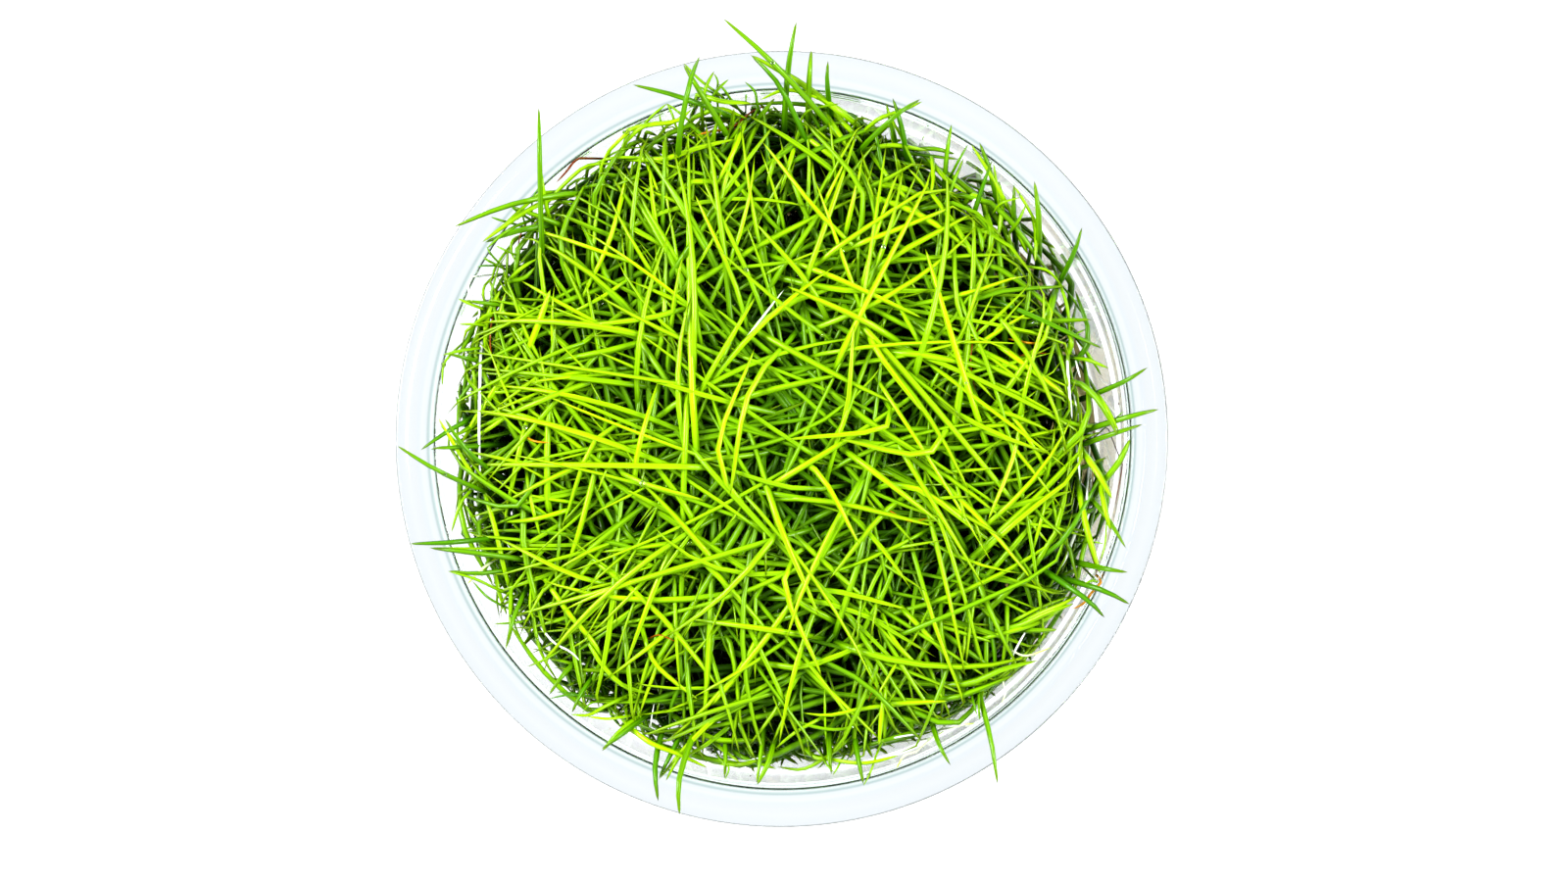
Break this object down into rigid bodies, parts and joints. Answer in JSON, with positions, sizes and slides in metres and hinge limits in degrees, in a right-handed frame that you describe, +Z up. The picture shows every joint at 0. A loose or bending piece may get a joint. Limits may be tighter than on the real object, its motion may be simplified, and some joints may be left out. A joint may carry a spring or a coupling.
{
  "type": "needle spikerush in vitro cup",
  "caption": "Clear open plastic cup with a wide flat brim, holding a slab of pale nutrient gel and a dense tangled sward of needle leaves that spills over the brim.",
  "frame": {"origin": "centre of the cup's flat underside, on the cup's axis", "axes": "+Z up along the cup's axis, -Y towards the bottom edge of the picture, +X towards its right edge"},
  "size_m": [0.095, 0.0982, 0.0669],
  "materials": {
    "clear_cup": "gloss",
    "agar_gel": "satin",
    "leaf": "satin"
  },
  "bodies": {
    "root": {"cup": "clear_cup", "agar_gel": "agar_gel", "spikerush_tuft_01": "leaf", "spikerush_tuft_02": "leaf", "spikerush_tuft_03": "leaf", "spikerush_tuft_04": "leaf", "spikerush_tuft_05": "leaf", "spikerush_tuft_06": "leaf", "spikerush_tuft_07": "leaf", "spikerush_tuft_08": "leaf", "spikerush_tuft_09": "leaf", "spikerush_tuft_10": "leaf", "spikerush_tuft_11": "leaf", "spikerush_tuft_12": "leaf", "spikerush_tuft_13": "leaf", "spikerush_tuft_14": "leaf", "spikerush_tuft_15": "leaf", "spikerush_tuft_16": "leaf", "spikerush_tuft_17": "leaf", "spikerush_tuft_18": "leaf", "spikerush_tuft_19": "leaf", "spikerush_tuft_20": "leaf", "spikerush_tuft_21": "leaf", "spikerush_tuft_22": "leaf", "spikerush_tuft_23": "leaf", "spikerush_tuft_24": "leaf", "spikerush_tuft_25": "leaf", "spikerush_tuft_26": "leaf", "spikerush_tuft_27": "leaf", "spikerush_tuft_28": "leaf", "spikerush_tuft_29": "leaf", "spikerush_tuft_30": "leaf", "spikerush_tuft_31": "leaf", "spikerush_tuft_32": "leaf", "spikerush_tuft_33": "leaf"}
  },
  "joints": []
}
